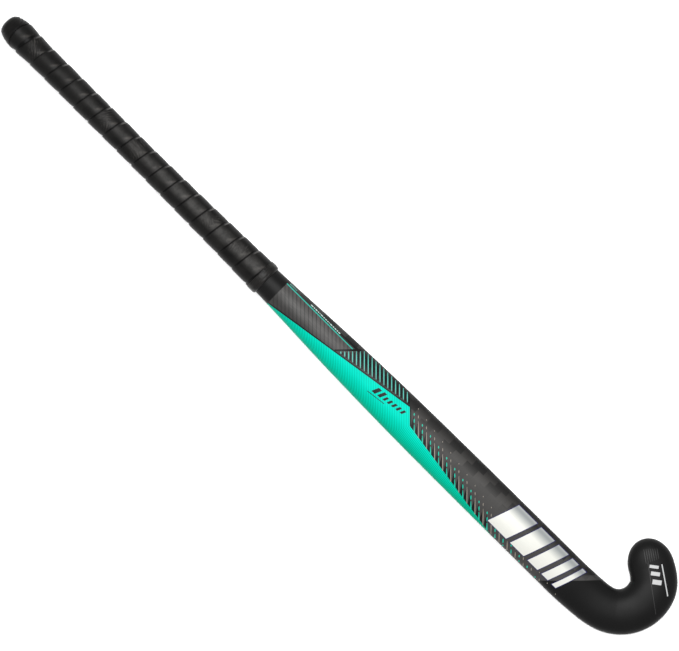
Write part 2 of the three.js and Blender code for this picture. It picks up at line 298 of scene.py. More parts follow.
class Look:
    """A material whose nodes are added by short calls. Its lengths are in metres."""

    def __init__(self, name):
        self.material = bpy.data.materials.new(name)
        self.material.use_nodes = True
        self.tree = self.material.node_tree
        self.shader = self.tree.nodes["Principled BSDF"]

    def node(self, kind, inputs=None, **settings):
        made = self.tree.nodes.new(kind)
        for name, value in settings.items():
            setattr(made, name, value)
        for name, value in (inputs or {}).items():
            self.put(made.inputs[name], value)
        return made

    def put(self, socket, value):
        if isinstance(value, bpy.types.NodeSocket):
            self.tree.links.new(value, socket)
        else:
            socket.default_value = value

    def done(self, colour, roughness, normal=None, specular=0.5, metallic=0.0):
        """The material, once its shader's inputs are set."""
        inputs = {
            "Base Color": colour, "Roughness": roughness, "Specular IOR Level": specular,
            "Metallic": metallic,
        }
        if normal is not None:
            inputs["Normal"] = normal
        for name, value in inputs.items():
            self.put(self.shader.inputs[name], value)
        return self.material

    def math(self, operation, *values):
        made = self.node("ShaderNodeMath", dict(enumerate(values)), operation=operation)
        return made.outputs[0]

    def times(self, product, *values):
        """The product of two values or more."""
        for value in values:
            product = self.math("MULTIPLY", product, value)
        return product

    def plus(self, *values):
        return self.math("ADD", *values)

    def scaled(self, value, factor, offset):
        return self.math("MULTIPLY_ADD", value, factor, offset)

    def clamped(self, value):
        return self.node("ShaderNodeClamp", {0: value}).outputs[0]

    def between(self, part, first, second):
        """Numbers mixed: part 0 is the first and part 1 the second."""
        return self.node("ShaderNodeMix", {0: part, 2: first, 3: second}).outputs[0]

    def object_place(self):
        """The x, y and z of a point in the frame, in metres."""
        place = self.node("ShaderNodeTexCoord").outputs["Object"]
        return self.node("ShaderNodeSeparateXYZ", {0: place}).outputs

    def stick_place(self):
        """The distance along the stick and round it, in metres, from the mesh's UVs."""
        place = self.node("ShaderNodeUVMap", uv_map=UV_NAME).outputs[0]
        return self.node("ShaderNodeSeparateXYZ", {0: place}).outputs[:2]

    def vector(self, x, y, z=0.0):
        return self.node("ShaderNodeCombineXYZ", {0: x, 1: y, 2: z}).outputs[0]

    def noise(self, scale, detail=2.0, vector=None, roughness=0.5):
        if vector is None:
            vector = self.node("ShaderNodeTexCoord").outputs["Object"]
        inputs = {"Vector": vector, "Scale": scale, "Detail": detail, "Roughness": roughness}
        return self.node("ShaderNodeTexNoise", inputs).outputs["Fac"]

    def fibres(self, x, y, x_scale, y_scale, detail=3.0):
        """Noise that is drawn out along x or y, by its two scales."""
        return self.noise(1.0, detail, self.vector(self.times(x, x_scale), self.times(y, y_scale)))

    def ramp(self, value, low, high, out_low=0.0, out_high=1.0):
        """Value from low to high, as out_low to out_high, and steady past both."""
        inputs = {0: value, 1: low, 2: high, 3: out_low, 4: out_high}
        return self.node("ShaderNodeMapRange", inputs, clamp=True).outputs[0]

    def window(self, value, low, high, soft):
        """One between low and high, and nothing past them."""
        rise = self.ramp(value, low - soft, low + soft)
        fall = self.ramp(value, high - soft, high + soft, 1.0, 0.0)
        return self.times(rise, fall)

    def mix(self, part, first, second):
        """Colours mixed: part 0 is the first and part 1 the second."""
        inputs = {0: part, 6: first, 7: second}
        return self.node("ShaderNodeMix", inputs, data_type="RGBA").outputs[2]

    def bump(self, height, distance, strength, normal=None):
        inputs = {"Height": height, "Distance": distance, "Strength": strength}
        if normal is not None:
            inputs["Normal"] = normal
        return self.node("ShaderNodeBump", inputs).outputs[0]


def shade(value, warm=0.0):
    """A near-neutral colour, a little warmer as warm grows."""
    return (value * (1 + warm), value, value * (1 - warm), 1)


# ---- colours and finishes

BLACK = 0.0022
CARBON_DARK = 0.018
CARBON_PALE = 0.043
GREY = 0.039
TEAL = (0.0004, 0.412, 0.314, 1)
TEAL_DEEP = (0.0003, 0.165, 0.11, 1)
# Painted shade: the teal is multiplied by this towards the heel side's edge.
HEEL_PAINTED_SHADE = (0.0002, 0.66, 0.51)  # how the teal deepens by the heel side's edge
BEIGE = (0.205, 0.185, 0.155, 1)
NAVY = (0.005, 0.005, 0.03, 1)
# The silver's colour under painted shade, towards the toe side, and its lit colour, towards the
# heel side.
SILVER_SHADED = (0.165, 0.176, 0.177, 1)
SILVER_LIT = (0.40, 0.40, 0.37, 1)

BAND_END = 402  # the plain band between the grip and the printed shaft
HEAD_LINE = 827.5  # the carbon ends on the diagonal where x less y has this value
HEAD_ALWAYS = 862  # and all of the hook past this s is plain
TOW_LENGTH = 16.15
TOW_WIDTH = 8.7
TOW_START = (616.4, 3.95)  # a corner of a cell: its s and its distance round from the middle
TOW_SLANT = 0.035  # the weave lies this much off the stick's line
# Each row of cells lies this part of a cell nearer the butt than the row on its heel side.
TOW_STEP = 0.58


def diagonal(look, sign):
    """A point's x plus or minus its y in millimetres, measured from the butt and the axis."""
    x, y, _ = look.object_place()
    along = look.scaled(x, 1 / MM, -BUTT_X / MM)
    across = look.scaled(y, sign / MM, -sign * AXIS_Y / MM)
    return look.plus(along, across)


def weave_cells(look, along, round_it):
    """The weave: which tow is on top (0 or 1), its fibres, and a number of each cell's own."""
    drift = look.scaled(along, -TOW_SLANT, (TOW_SLANT * TOW_START[0] - TOW_START[1]) * MM)
    row = look.math("FLOOR", look.times(look.plus(round_it, drift), 1 / (TOW_WIDTH * MM)))
    column = look.scaled(along, 1 / (TOW_LENGTH * MM), -TOW_START[0] / TOW_LENGTH)
    column = look.math("FLOOR", look.scaled(row, TOW_STEP, column))
    crossing = look.math("PINGPONG", look.plus(look.plus(column, row), 1.0), 1.0)
    fibre = look.between(crossing, look.fibres(along, round_it, 60.0, 4200.0),
                         look.fibres(along, round_it, 4200.0, 60.0))
    cell = {"Vector": look.vector(column, row, 7.0)}
    own = look.node("ShaderNodeTexWhiteNoise", cell).outputs["Value"]
    return crossing, fibre, own


def lacquer_look():
    """Clear lacquer over spread-tow carbon, with plain black at the band and on the head."""
    look = Look("lacquered_carbon")
    along, round_it = look.stick_place()
    crossing, fibre, own = weave_cells(look, along, round_it)
    mean = 0.55
    tone = look.plus(look.times(crossing, 0.7), look.times(own, 0.4))
    clear = look.ramp(round_it, 0.005, 0.0135, 0.1, 1.1)
    tone = look.scaled(look.math("SUBTRACT", tone, mean), clear, mean)
    tone = look.clamped(look.scaled(fibre, 0.45, look.math("SUBTRACT", tone, 0.25)))
    carbon = look.mix(tone, shade(CARBON_DARK, 0.02), shade(CARBON_PALE, 0.04))
    # Painted shade: the carbon darkens to the toe side's edge, and a little at the middle of the
    # back.
    painted_carbon_shade = look.math("MAXIMUM", look.ramp(round_it, 0.0055, 0.0255),
                     look.ramp(round_it, 0.001, 0.008, 0.12, 0.0))
    carbon = look.mix(painted_carbon_shade, carbon, shade(BLACK))
    # A paler band of it runs along the head's diagonal.
    slant = diagonal(look, -1)
    edge_glow = look.times(look.ramp(slant, HEAD_LINE - 8, HEAD_LINE - 6.5),
                           look.ramp(round_it, -0.015, 0.02, 0.2, 0.42))
    carbon = look.mix(edge_glow, carbon, shade(GREY, 0.02))
    speckle = look.noise(900.0, 4.0, roughness=0.7)
    plain = look.mix(speckle, shade(BLACK * 1.2), shade(BLACK * 1.9))
    past_line = look.ramp(slant, HEAD_LINE - 0.3, HEAD_LINE + 0.3)
    past_bend = look.ramp(along, (HEAD_ALWAYS - 0.5) * MM, HEAD_ALWAYS * MM)
    before = look.ramp(along, (BAND_END - 0.1) * MM, (BAND_END + 0.1) * MM, 1.0, 0.0)
    is_plain = look.math("MAXIMUM", look.math("MAXIMUM", past_line, past_bend), before)
    weave_gloss = look.ramp(tone, 0.0, 1.0, 0.52, 0.40)
    plain_gloss = look.ramp(look.noise(38.0, 3.0), 0.3, 0.7, 0.38, 0.46)
    orange_peel = look.noise(260.0)
    return look.done(
        look.mix(is_plain, carbon, plain), look.between(is_plain, weave_gloss, plain_gloss),
        look.bump(orange_peel, 0.00006, 0.25, look.bump(fibre, 0.00002, 0.35)), specular=0.065,
    )


def print_look(name, first, second, specular=0.12, gloss=(0.42, 0.5)):
    """A printed colour that varies a little, as ink does under lacquer."""
    look = Look(name)
    cloud = look.noise(120.0, 4.0, roughness=0.6)
    return look.done(
        look.mix(cloud, first, second), look.ramp(look.noise(60.0, 3.0), 0.3, 0.7, *gloss),
        look.bump(look.noise(700.0), 0.00003, 0.3), specular,
    )


PANEL_PITCH = 4.08  # between the thin dark diagonals of the grey panel
PANEL_LINE = 0.8  # their width


def panel_look():
    """The grey panel: brushed grey with thin dark diagonals, and painted shade towards the heel
    side.
    """
    look = Look("grey_print")
    part = look.math("FRACT", look.math("DIVIDE", diagonal(look, 1), PANEL_PITCH * math.sqrt(2)))
    near = look.math("ABSOLUTE", look.math("SUBTRACT", part, 0.5))
    half_line = 0.5 * PANEL_LINE / PANEL_PITCH
    dark_line = look.ramp(near, half_line, half_line + 0.03, 0.65, 0.0)
    x, y, _ = look.object_place()
    brushed = look.fibres(x, y, 90.0, 1400.0, 4.0)
    cloud = look.noise(45.0, 3.0)
    tone = look.plus(look.times(brushed, 0.5), look.times(cloud, 0.5))
    grey = look.mix(look.ramp(tone, 0.3, 0.7), shade(GREY * 0.72, 0.03), shade(GREY * 1.28, 0.03))
    # Painted shade darkens the grey towards the heel side, where the light falls off.
    heel_painted_shade = look.ramp(y, AXIS_Y - 7 * MM, AXIS_Y + 4 * MM, 0.5, 0.0)
    grey = look.mix(heel_painted_shade, grey, shade(BLACK))
    grey = look.mix(dark_line, grey, shade(CARBON_DARK * 0.45))
    rough = look.ramp(brushed, 0.2, 0.8, 0.5, 0.38)
    return look.done(grey, rough, look.bump(brushed, 0.00002, 0.3), specular=0.12)


# The wedge's outline on the back, in plan, and the ribs that run parallel to its far sides.
WEDGE_ROOT = (BAND_END, -15.2)
WEDGE_PEAK = (583.2, 12.5)
WEDGE_KNEE = (597.0, -1.3)
WEDGE_RISE = (WEDGE_PEAK[1] - WEDGE_ROOT[1]) / (WEDGE_PEAK[0] - WEDGE_ROOT[0])
WEDGE_SLOPE = -0.149  # of its long far side
WEDGE_TIP = 742
RIB_PITCH = 1.8


def teal_look():
    """The teal wedge, with fine ribs over the skin, parallel to its two far sides, and painted
    shade by the heel side's edge.
    """
    look = Look("teal_print")
    along, round_it = look.stick_place()
    knee = float(girth_at(*on_shaft(*WEDGE_KNEE)))
    run = look.math("SUBTRACT", along, WEDGE_KNEE[0] * MM)
    over = look.math("SUBTRACT", round_it, knee)
    steep = look.times(look.plus(run, over), 1 / (math.sqrt(2) * MM))
    gentle = look.times(look.scaled(run, -WEDGE_SLOPE, over), 1 / (math.hypot(1, WEDGE_SLOPE) * MM))
    inside = look.math("MINIMUM", steep, gentle)
    wave = look.math("SINE", look.times(inside, 2 * math.pi / RIB_PITCH))
    rib = look.ramp(wave, -0.6, 0.9)
    cloud = look.noise(60.0, 3.0)
    base = look.mix(look.ramp(cloud, 0.3, 0.7), TEAL, (TEAL[0], TEAL[1] * 0.93, TEAL[2] * 0.94, 1))
    # Painted shade deepens the teal towards the heel side's edge; the ribs show more there too.
    by_heel = look.ramp(look.object_place()[1], AXIS_Y - 23 * MM, AXIS_Y - 3 * MM, 1.0, 0.0)
    ink = look.times(rib, look.ramp(by_heel, 0.0, 1.0, 0.62, 1.0))
    inked = look.mix(ink, base, TEAL_DEEP)
    heel_shaded_teal = look.node("ShaderNodeMix", {0: by_heel, 6: inked, 7: (*HEEL_PAINTED_SHADE, 1)},
                         data_type="RGBA", blend_type="MULTIPLY").outputs[2]
    rough = look.ramp(cloud, 0.3, 0.7, 0.36, 0.46)
    return look.done(heel_shaded_teal, rough, look.bump(rib, 0.00005, 0.35), specular=0.012)


def silver_look():
    """Brushed silver, pale at the heel side and greyed by painted shade towards the toe side, with
    a painted highlight paling its toe side's edge a little.
    """
    look = Look("silver_print")
    x, y, _ = look.object_place()
    # Painted shade greys the silver towards the toe side, and a painted highlight pales its toe
    # side's edge.
    across = look.times(look.ramp(y, AXIS_Y + 7 * MM, AXIS_Y + 16.5 * MM),
                        look.ramp(y, AXIS_Y + 18 * MM, AXIS_Y + 20.5 * MM, 1.0, 0.7))
    brushed = look.fibres(x, y, 120.0, 2600.0)
    colour = look.mix(across, SILVER_LIT, SILVER_SHADED)
    return look.done(
        look.mix(look.ramp(brushed, 0.3, 0.7, 0.0, 0.12), colour, SILVER_SHADED),
        look.ramp(brushed, 0.3, 0.7, 0.32, 0.44), look.bump(brushed, 0.00002, 0.3),
        specular=0.2, metallic=0.12,
    )


STRIP_TURN = 90  # one turn of the grip strip, along its UVs in millimetres

# Creases in the strip: s, angle round the handle, direction in degrees, height and spread.
CREASES = [
    (44, 92, 52, 0.16, 9), (36, 60, 40, 0.10, 7), (146, 78, -46, 0.15, 9), (152, 100, 60, 0.1, 7),
    (190, 66, 12, 0.16, 9), (196, 96, 30, 0.1, 8), (297, 84, 48, 0.16, 10), (304, 60, -30, 0.1, 7),
    (334, 80, 78, 0.14, 9), (347, 74, 84, 0.18, 9), (233, 118, 40, 0.08, 7), (100, 60, 60, 0.07, 6),
    (72, 250, 30, 0.12, 9), (126, 300, -40, 0.12, 9), (210, 270, 50, 0.12, 10),
    (262, 230, -20, 0.12, 9), (318, 290, 70, 0.12, 9),
]
CREASE_WAVE = 3.1
WRINKLED = 0.1  # creases on the back of at least this height are finely wrinkled


def wrinkles(look):
    """Fine wrinkles where the back of the handle is creased, from 0 to 1."""
    x, y, _ = look.object_place()
    total = 0.0
    for at, angle, direction, height, spread in CREASES:
        if angle > HEEL_EDGE or height < WRINKLED:
            continue
        cosine, sine = math.cos(math.radians(direction)), math.sin(math.radians(direction))
        aside = float(HALF_WIDTH(at)) * math.cos(math.radians(angle))
        along = look.math("SUBTRACT", x, BUTT_X + at * MM)
        over = look.math("SUBTRACT", AXIS_Y + aside * MM, y)
        ahead = look.scaled(over, sine, look.times(along, cosine))
        beside = look.scaled(over, cosine, look.times(along, -sine))
        lines = look.fibres(ahead, beside, 120.0, 620.0)
        far = look.math("POWER", look.scaled(along, along, look.times(over, over)), 0.5)
        near = look.ramp(far, 0.4 * spread * MM, 1.05 * spread * MM, 1.0, 0.0)
        total = look.scaled(near, look.ramp(lines, 0.5, 0.66), total)
    return look.clamped(total)


def grip_look():
    """Tacky polyurethane: a soft uneven black, with painted shadow in the laps and painted
    highlights on its turns.
    """
    look = Look("grip_polyurethane")
    # The places along and across the strip, and its angle round the handle as a part of a turn.
    along, across = look.stick_place()
    turned = look.math("FRACT", look.times(along, -1 / (STRIP_TURN * MM)))
    # Painted shadow darkens the laps, where each turn's edge lies over the one before.
    lap_shadow = look.math("MAXIMUM", look.ramp(across, 0.0004, 0.0010, 1.0, 0.0),
                    look.ramp(across, 0.0203, 0.0210))
    cloud = look.noise(55.0, 4.0, roughness=0.62)
    patchy = look.ramp(look.noise(160.0, 4.0, roughness=0.7), 0.36, 0.64)
    colour = look.mix(look.ramp(cloud, 0.25, 0.75), shade(0.0016), shade(0.006, 0.05))
    # A painted highlight, a pale streak, runs up to each seam, just short of it, on the toe side of
    # the middle.
    slanted = look.scaled(turned, 0.05, across)
    seam_highlight = look.times(
        look.window(slanted, 0.0274, 0.0298, 0.0013), look.window(turned, 0.175, 0.245, 0.025),
        look.scaled(patchy, 0.8, 0.2), look.ramp(along, 0.1, 1.2, 0.45, 1.0),
    )
    colour = look.mix(seam_highlight, colour, shade(0.048, 0.1))
    # A painted highlight pales the turns along the middle, and more so towards the head.
    middle_highlight = look.times(look.scaled(patchy, 0.8, 0.6), look.window(turned, 0.168, 0.278, 0.032),
                        look.ramp(along, 0.25, 1.0, 0.06, 0.52))
    colour = look.mix(middle_highlight, colour, shade(0.03, 0.04))
    # The edge turns up where it leans, at the toe side's shoulder, and a painted glint pales it
    # there.
    shoulder = look.times(
        look.window(across, 0.0011, 0.0026, 0.0004), look.window(turned, 0.055, 0.150, 0.014),
        look.ramp(turned, 0.08, 0.155, 1.0, 0.35), look.scaled(patchy, 0.5, 0.5),
    )
    colour = look.mix(shoulder, colour, shade(0.085, 0.03))
    creased = wrinkles(look)
    # Painted highlights pale the fine wrinkles, which also add to the bump.
    colour = look.mix(look.times(creased, 0.7), colour, shade(0.034, 0.06))
    grain = look.noise(2300.0)
    streak = look.noise(240.0, 5.0, roughness=0.65)
    height = look.plus(look.times(grain, 0.25), streak)
    height = look.plus(height, look.times(creased, 1.2))
    rough = look.ramp(cloud, 0.3, 0.7, 0.36, 0.46)
    return look.done(
        look.mix(lap_shadow, colour, shade(0.0006)), look.between(seam_highlight, rough, 0.3),
        look.bump(height, 0.00016, 0.5), specular=0.06,
    )


def vinyl_look():
    """Stretched vinyl tape, with long fine pull marks round the handle."""
    look = Look("finish_vinyl")
    along, round_it = look.stick_place()
    pull = look.fibres(along, round_it, 1500.0, 90.0, 4.0)
    return look.done(
        look.mix(look.ramp(pull, 0.35, 0.7), shade(0.0025), shade(0.009, 0.08)),
        look.ramp(pull, 0.3, 0.7, 0.28, 0.42), look.bump(pull, 0.00018, 0.5), specular=0.09,
    )


def weave_look(name, dark, pale, pitch, roughness):
    """Bare cured laminate, woven from crossing tows."""
    look = Look(name)
    x, y, z = look.object_place()
    waves = [look.math("SINE", look.times(side, 2 * math.pi / pitch))
             for side in (x, look.plus(y, z))]
    weave = look.ramp(look.times(*waves), -0.4, 0.4)
    rough = look.ramp(weave, 0, 1, *roughness)
    return look.done(look.mix(weave, dark, pale), rough, look.bump(weave, 0.0001, 0.5))


def foam_look(name, dark, pale, cell):
    """Foam with cells of one size."""
    look = Look(name)
    place = look.node("ShaderNodeTexCoord").outputs["Object"]
    cells = look.node("ShaderNodeTexVoronoi", {"Vector": place, "Scale": 1 / cell}).outputs[0]
    rough = look.ramp(cells, 0, 1, 0.95, 0.75)
    return look.done(look.mix(cells, dark, pale), rough, look.bump(cells, cell / 3, 0.6))


LACQUER = lacquer_look()
PANEL = panel_look()
TEAL_RIBBED = teal_look()
TEAL_PLAIN = print_look("teal_line", (0.02, 0.26, 0.2, 1), (0.012, 0.19, 0.15, 1))
TEAL_DASH = print_look("teal_dash", (0.002, 0.3, 0.215, 1), (0.001, 0.19, 0.13, 1))
TEAL_PALE = print_look("pale_teal_line", (0.075, 0.32, 0.27, 1), (0.045, 0.25, 0.21, 1))
MARK_WHITE = print_look("white_mark", shade(0.31, -0.01), shade(0.26))
MARK_PALE = print_look("pale_mark", (0.3, 0.38, 0.36, 1), (0.2, 0.3, 0.27, 1))
BLACK_PRINT = print_look("black_print", shade(0.0025), shade(0.005), 0.08)
BEIGE_PRINT = print_look("beige_print", BEIGE, (0.115, 0.1, 0.085, 1))
NAVY_PRINT = print_look("navy_print", NAVY, (0.02, 0.02, 0.09, 1))
FAINT_PRINT = print_look("faint_print", shade(0.02), shade(0.032))
SILVER = silver_look()
GRIP = grip_look()
VINYL = vinyl_look()
INNER_LOOKS = {
    "bare_laminate": weave_look("bare_weave", shade(0.012), shade(0.04), 0.004, (0.65, 0.45)),
    "nylon_film": foam_look("film", (0.5, 0.46, 0.3, 1), (0.62, 0.58, 0.42, 1), 0.003),
    "fibre_cord": weave_look("cord_fibre", shade(0.02), shade(0.06), 0.0012, (0.9, 0.7)),
    "syntactic_foam": foam_look("head_foam", shade(0.18, 0.06), shade(0.3, 0.06), 0.0012),
    "soft_foam": foam_look("bung_foam", (0.5, 0.44, 0.28, 1), (0.7, 0.62, 0.4, 1), 0.0015),
    "moulded_plug": print_look("plug_plastic", shade(0.01), shade(0.02), 0.5, (0.4, 0.55)),
}

# ---- the shell


def angles_round(back, corner, flat):
    """Angles from the middle of the face round by the toe side and back to the face."""
    return np.concatenate([
        np.linspace(FLAT_MIDDLE, FLAT_END, flat, endpoint=False),
        np.linspace(FLAT_END, 360, corner, endpoint=False),
        np.linspace(360, 360 + HEEL_EDGE, back, endpoint=False),
        np.linspace(360 + HEEL_EDGE, 360 + FLAT_START, corner, endpoint=False),
        np.linspace(360 + FLAT_START, 360 + FLAT_MIDDLE, flat, endpoint=False),
    ])


def girth_uv(rings, along):
    """UVs in metres: along the stick, and round it from the middle of the back to the toe side."""
    closed = np.concatenate([rings, rings[:, :1]], 1)
    steps = np.linalg.norm(np.diff(closed, axis=1), axis=2)
    girth = np.concatenate([np.zeros((len(rings), 1)), np.cumsum(steps, 1)], 1)
    girth = girth[:, -1:] / 2 - girth
    return np.stack([np.broadcast_to(along[:, None] * MM, girth.shape), girth], -1)


def toe_stations(height):
    """Stations round the end of the toe, closer together towards its tip."""
    reach = TOE_ROUND + TIP_INSET * height
    return TOE_START + reach * np.sin(np.radians(np.linspace(0, 88.5, 34)))


def shell():
    """The laminate, outside and inside, from the open butt to the end of the toe."""
    ring_angles = angles_round(72, 12, 4)
    straight = np.arange(SHELL_START, SHAFT_RUN, 4)
    bend = np.arange(SHAFT_RUN, TOE_START - 0.5, 1.4)
    outer_s = np.concatenate([straight, bend, toe_stations(0)])
    wall = float(WALL(TOE_START))
    inner_s = np.concatenate([straight[::4], bend[::4], toe_stations(-wall)[::3]])
    outer = surface(outer_s[:, None], ring_angles, 0)
    inner = surface(inner_s[:, None], ring_angles, -WALL(inner_s)[:, None])
    outer_tip, inner_tip = (
        surface(TOE_START + TOE_ROUND + TIP_INSET * height, 0, height) for height in (0, -wall)
    )
    rings = np.concatenate([inner[::-1], outer])
    uv = girth_uv(rings, np.concatenate([inner_s[::-1], outer_s]))
    body = loft(rings, uv, first=inner_tip, last=outer_tip)
    piece("shell_visual", body, LACQUER, "lacquered_laminate", "composite_shell")


# ---- printed films

FILM = 0.03  # thickness of a printed film
LAYERS = (0.03, 0.08, 0.13, 0.18, 0.23, 0.28)  # heights at which films lie over one another
PATCH_STEP, STROKE_STEP = 2.0, 1.6  # at most this far between the points along them


def film(side_a, side_b, across, layer):
    """A thin closed ribbon on the moulding, between two rows of (s, angle)."""
    part = np.linspace(0, 1, across + 1)[:, None, None]
    places = side_a[None] * (1 - part) + side_b[None] * part
    under = surface(places[..., 0], places[..., 1], LAYERS[layer])
    over = surface(places[..., 0], places[..., 1], LAYERS[layer] + FILM)
    rings = np.concatenate([under, over[::-1]], 0).transpose(1, 0, 2)
    uv = np.stack([places[..., 0] * MM, girth_at(places[..., 0], places[..., 1])], -1)
    uv = np.concatenate([uv, uv[::-1], uv[:1]], 0).transpose(1, 0, 2)
    return loft(rings, uv, first=rings[0].mean(0), last=rings[-1].mean(0))


def plan_film(rows, across, layer, place):
    """A film between two rows of plan places, which a function turns into (s, angle)."""
    return film(*(place(row[:, 0], row[:, 1]) for row in rows), across, layer)


def patch(low, high, layer, across=12, place=on_shaft):
    """A film between two plan lines, each a (start, end) pair."""
    count = 2 + int(max(math.dist(*low), math.dist(*high)) / PATCH_STEP)
    return plan_film([np.linspace(*side, count) for side in (low, high)], across, layer, place)


EDGE_MARGIN = 18  # strokes stop this many degrees short of the widest lines
SHORTEST_STROKE = 0.7


def stroke(start, end, widths, layer, place=on_shaft):
    """A straight stroke in plan, whose width follows a list, trimmed where the back ends."""
    start, end = np.array(start, float), np.array(end, float)
    part = np.linspace(0, 1, 41)
    points = start + (end - start) * part[:, None]
    angle = place(points[:, 0], points[:, 1])[:, 1]
    inside = np.abs(angle - MIDDLE) < MIDDLE - EDGE_MARGIN
    if inside.sum() < 4:
        return []
    ends = points[inside][[0, -1]]
    length = math.dist(*ends)
    if length < SHORTEST_STROKE:
        return []
    count = max(len(widths), 2 + int(length / STROKE_STEP))
    spots = np.linspace(0, 1, count)
    half = np.interp(spots, np.linspace(0, 1, len(widths)), widths) / 2
    middle = ends[0] + (ends[1] - ends[0]) * spots[:, None]
    ahead = (ends[1] - ends[0]) / length
    aside = np.array([-ahead[1], ahead[0]]) * half[:, None]
    return [plan_film([middle + aside, middle - aside], 2, layer, place)]


def printed(name, bodies, material):
    """One piece of several films."""
    piece(name, joined(bodies), material, "lacquered_laminate")


STRIPE_Y = 13.3  # the pinstripe over the grey panel
PANEL_DIAGONAL = 487.6  # the panel's far end, as x less y
HATCH_END = 594.0  # the hatch's far end, as x plus y
HATCH_TOP = 21.8  # the hatch stops here, short of the toe side


def wedge_top(x):
    """The height in plan of the wedge's upper side."""
    return np.interp(x, [WEDGE_ROOT[0], WEDGE_PEAK[0]], [WEDGE_ROOT[1], WEDGE_PEAK[1]])


def wedge_far(x):
    """The height in plan of the wedge's long far side."""
    return WEDGE_KNEE[1] + WEDGE_SLOPE * (x - WEDGE_KNEE[0])


WEDGE_WRAP = 244  # the angle that it reaches round the heel side, just on to the face


def grey_panel():
    """The panel over the wedge's root, from the band to its own diagonal end."""
    foot_x = WEDGE_ROOT[0] + (PANEL_DIAGONAL - WEDGE_ROOT[0] + WEDGE_ROOT[1]) / (1 - WEDGE_RISE)
    low = (WEDGE_ROOT, (foot_x, float(wedge_top(foot_x))))
    high = ((BAND_END, STRIPE_Y), (PANEL_DIAGONAL + STRIPE_Y, STRIPE_Y))
    printed("grey_panel", [patch(low, high, 0, across=20)], PANEL)


def wedge():
    """The teal wedge, from its outline on the back to just past the heel side."""
    x = np.concatenate([
        np.linspace(WEDGE_ROOT[0], WEDGE_PEAK[0], 90),
        np.linspace(WEDGE_PEAK[0], WEDGE_KNEE[0], 12)[1:],
        np.linspace(WEDGE_KNEE[0], WEDGE_TIP, 80)[1:],
    ])
    y = np.where(x <= WEDGE_PEAK[0], wedge_top(x), np.where(
        x <= WEDGE_KNEE[0], sum(WEDGE_KNEE) - x, wedge_far(x)))
    upper = on_shaft(x, y)
    lower = np.stack([x, smooth([(400, WEDGE_WRAP), (660, WEDGE_WRAP), (WEDGE_TIP, 186)])(x)], -1)
    upper[:, 1] = np.minimum(upper[:, 1], lower[:, 1] - 3)
    printed("teal_wedge", [film(upper, lower, 44, 1)], TEAL_RIBBED)


OUTLINE = 1.3
PANEL_END_LINE = [(PANEL_DIAGONAL - 1.5, -0.8), (PANEL_DIAGONAL + 20.8, 21.5)]
STRIPE_END_LINE = [(470, STRIPE_Y + 2.4), (506, STRIPE_Y + 3.2)]


def wedge_outline():
    """Black lines on the wedge's upper sides, at the panel's end and over the pinstripe's end."""
    rows = [(WEDGE_ROOT, WEDGE_PEAK), (WEDGE_PEAK, WEDGE_KNEE)]
    aside = [(0, OUTLINE / 2), (OUTLINE * 0.6, OUTLINE * 0.4)]
    bodies = []
    for (start, end), (dx, dy) in zip(rows, aside):
        bodies += stroke((start[0] + dx, start[1] + dy), (end[0] + dx, end[1] + dy),
                         [OUTLINE, OUTLINE], 2)
    bodies += stroke(*PANEL_END_LINE, [1.6, 2.2], 2)
    bodies += stroke(*STRIPE_END_LINE, [0.5, 2.6], 0)
    printed("black_outlines", bodies, BLACK_PRINT)


HATCH_PITCH = 5.75
HATCH_START = PANEL_DIAGONAL + 1.2  # the hatch's near end, as x less y
HATCH_CLEAR = 2.2  # its lines stop this much above the wedge
HATCH_FIRST = 5.8  # how far the first line is from the near end
HATCH_ASIDE = np.array([(1.9, 0.6), (2.2, 0.3)])  # from a line's ends to those of its black stripe


def hatch():
    """Diagonal lines between the wedge and the toe side, each with a black stripe beside it."""
    teal, black = [], []
    total = HATCH_START + HATCH_FIRST
    while total < HATCH_END:
        high_y = min((total - HATCH_START) / 2, HATCH_TOP)
        base = WEDGE_ROOT[1] + WEDGE_RISE * (total - WEDGE_ROOT[0])
        low_y = base / (1 + WEDGE_RISE) + HATCH_CLEAR
        if high_y - low_y > 1:
            ends = np.array([(total - high_y, high_y), (total - low_y, low_y)])
            teal += stroke(*ends, [0.5, 0.95, 0.95, 0.6], 2)
            black += stroke(*(ends + HATCH_ASIDE), [0.8, 2.1, 1.6], 1)
        total += HATCH_PITCH
    printed("hatch_lines", teal, TEAL_PALE)
    printed("hatch_stripes", black, BLACK_PRINT)


STRIPE_END = 500
# The small pale marks over the pinstripe: their lengths, the gap between them, where the first
# one starts, and their rise over the stripe. The faint marks before them are short and slanted.
SMALL_MARKS = [3.2, 1.6, 2.4, 1.6, 0.8, 3.0, 1.6, 2.2, 1.4, 0.8, 2.8, 1.8, 2.2, 1.6, 2.4]
SMALL_GAP = 0.95
SMALL_START = 435.5
SMALL_RISE = 2.1
FAINT_MARKS = np.arange(405, 414, 1.7)
FAINT_LEAN = 0.9
FAINT_ENDS = (1.6, 2.6)


def pinstripe():
    """The pinstripe, and the two rows of small marks beside it."""
    bodies = stroke((BAND_END, STRIPE_Y), (STRIPE_END, STRIPE_Y), [1.0, 1.0], 1)
    printed("pinstripe", bodies, TEAL_PLAIN)
    marks = []
    low, high = (STRIPE_Y + rise for rise in FAINT_ENDS)
    for x in FAINT_MARKS:
        marks += stroke((x, low), (x + FAINT_LEAN, high), [0.5, 0.5], 1)
    printed("faint_marks", marks, TEAL_PALE)
    marks = []
    x, y = SMALL_START, STRIPE_Y + SMALL_RISE
    for length in SMALL_MARKS:
        marks += stroke((x, y), (x + length, y), [1.0, 1.0], 1)
        x += length + SMALL_GAP
    printed("small_marks", marks, MARK_PALE)


DASH_PITCH = 14.0
DASH_COUNT = 18
DIAGONAL = np.array([-1, 1]) / math.sqrt(2)

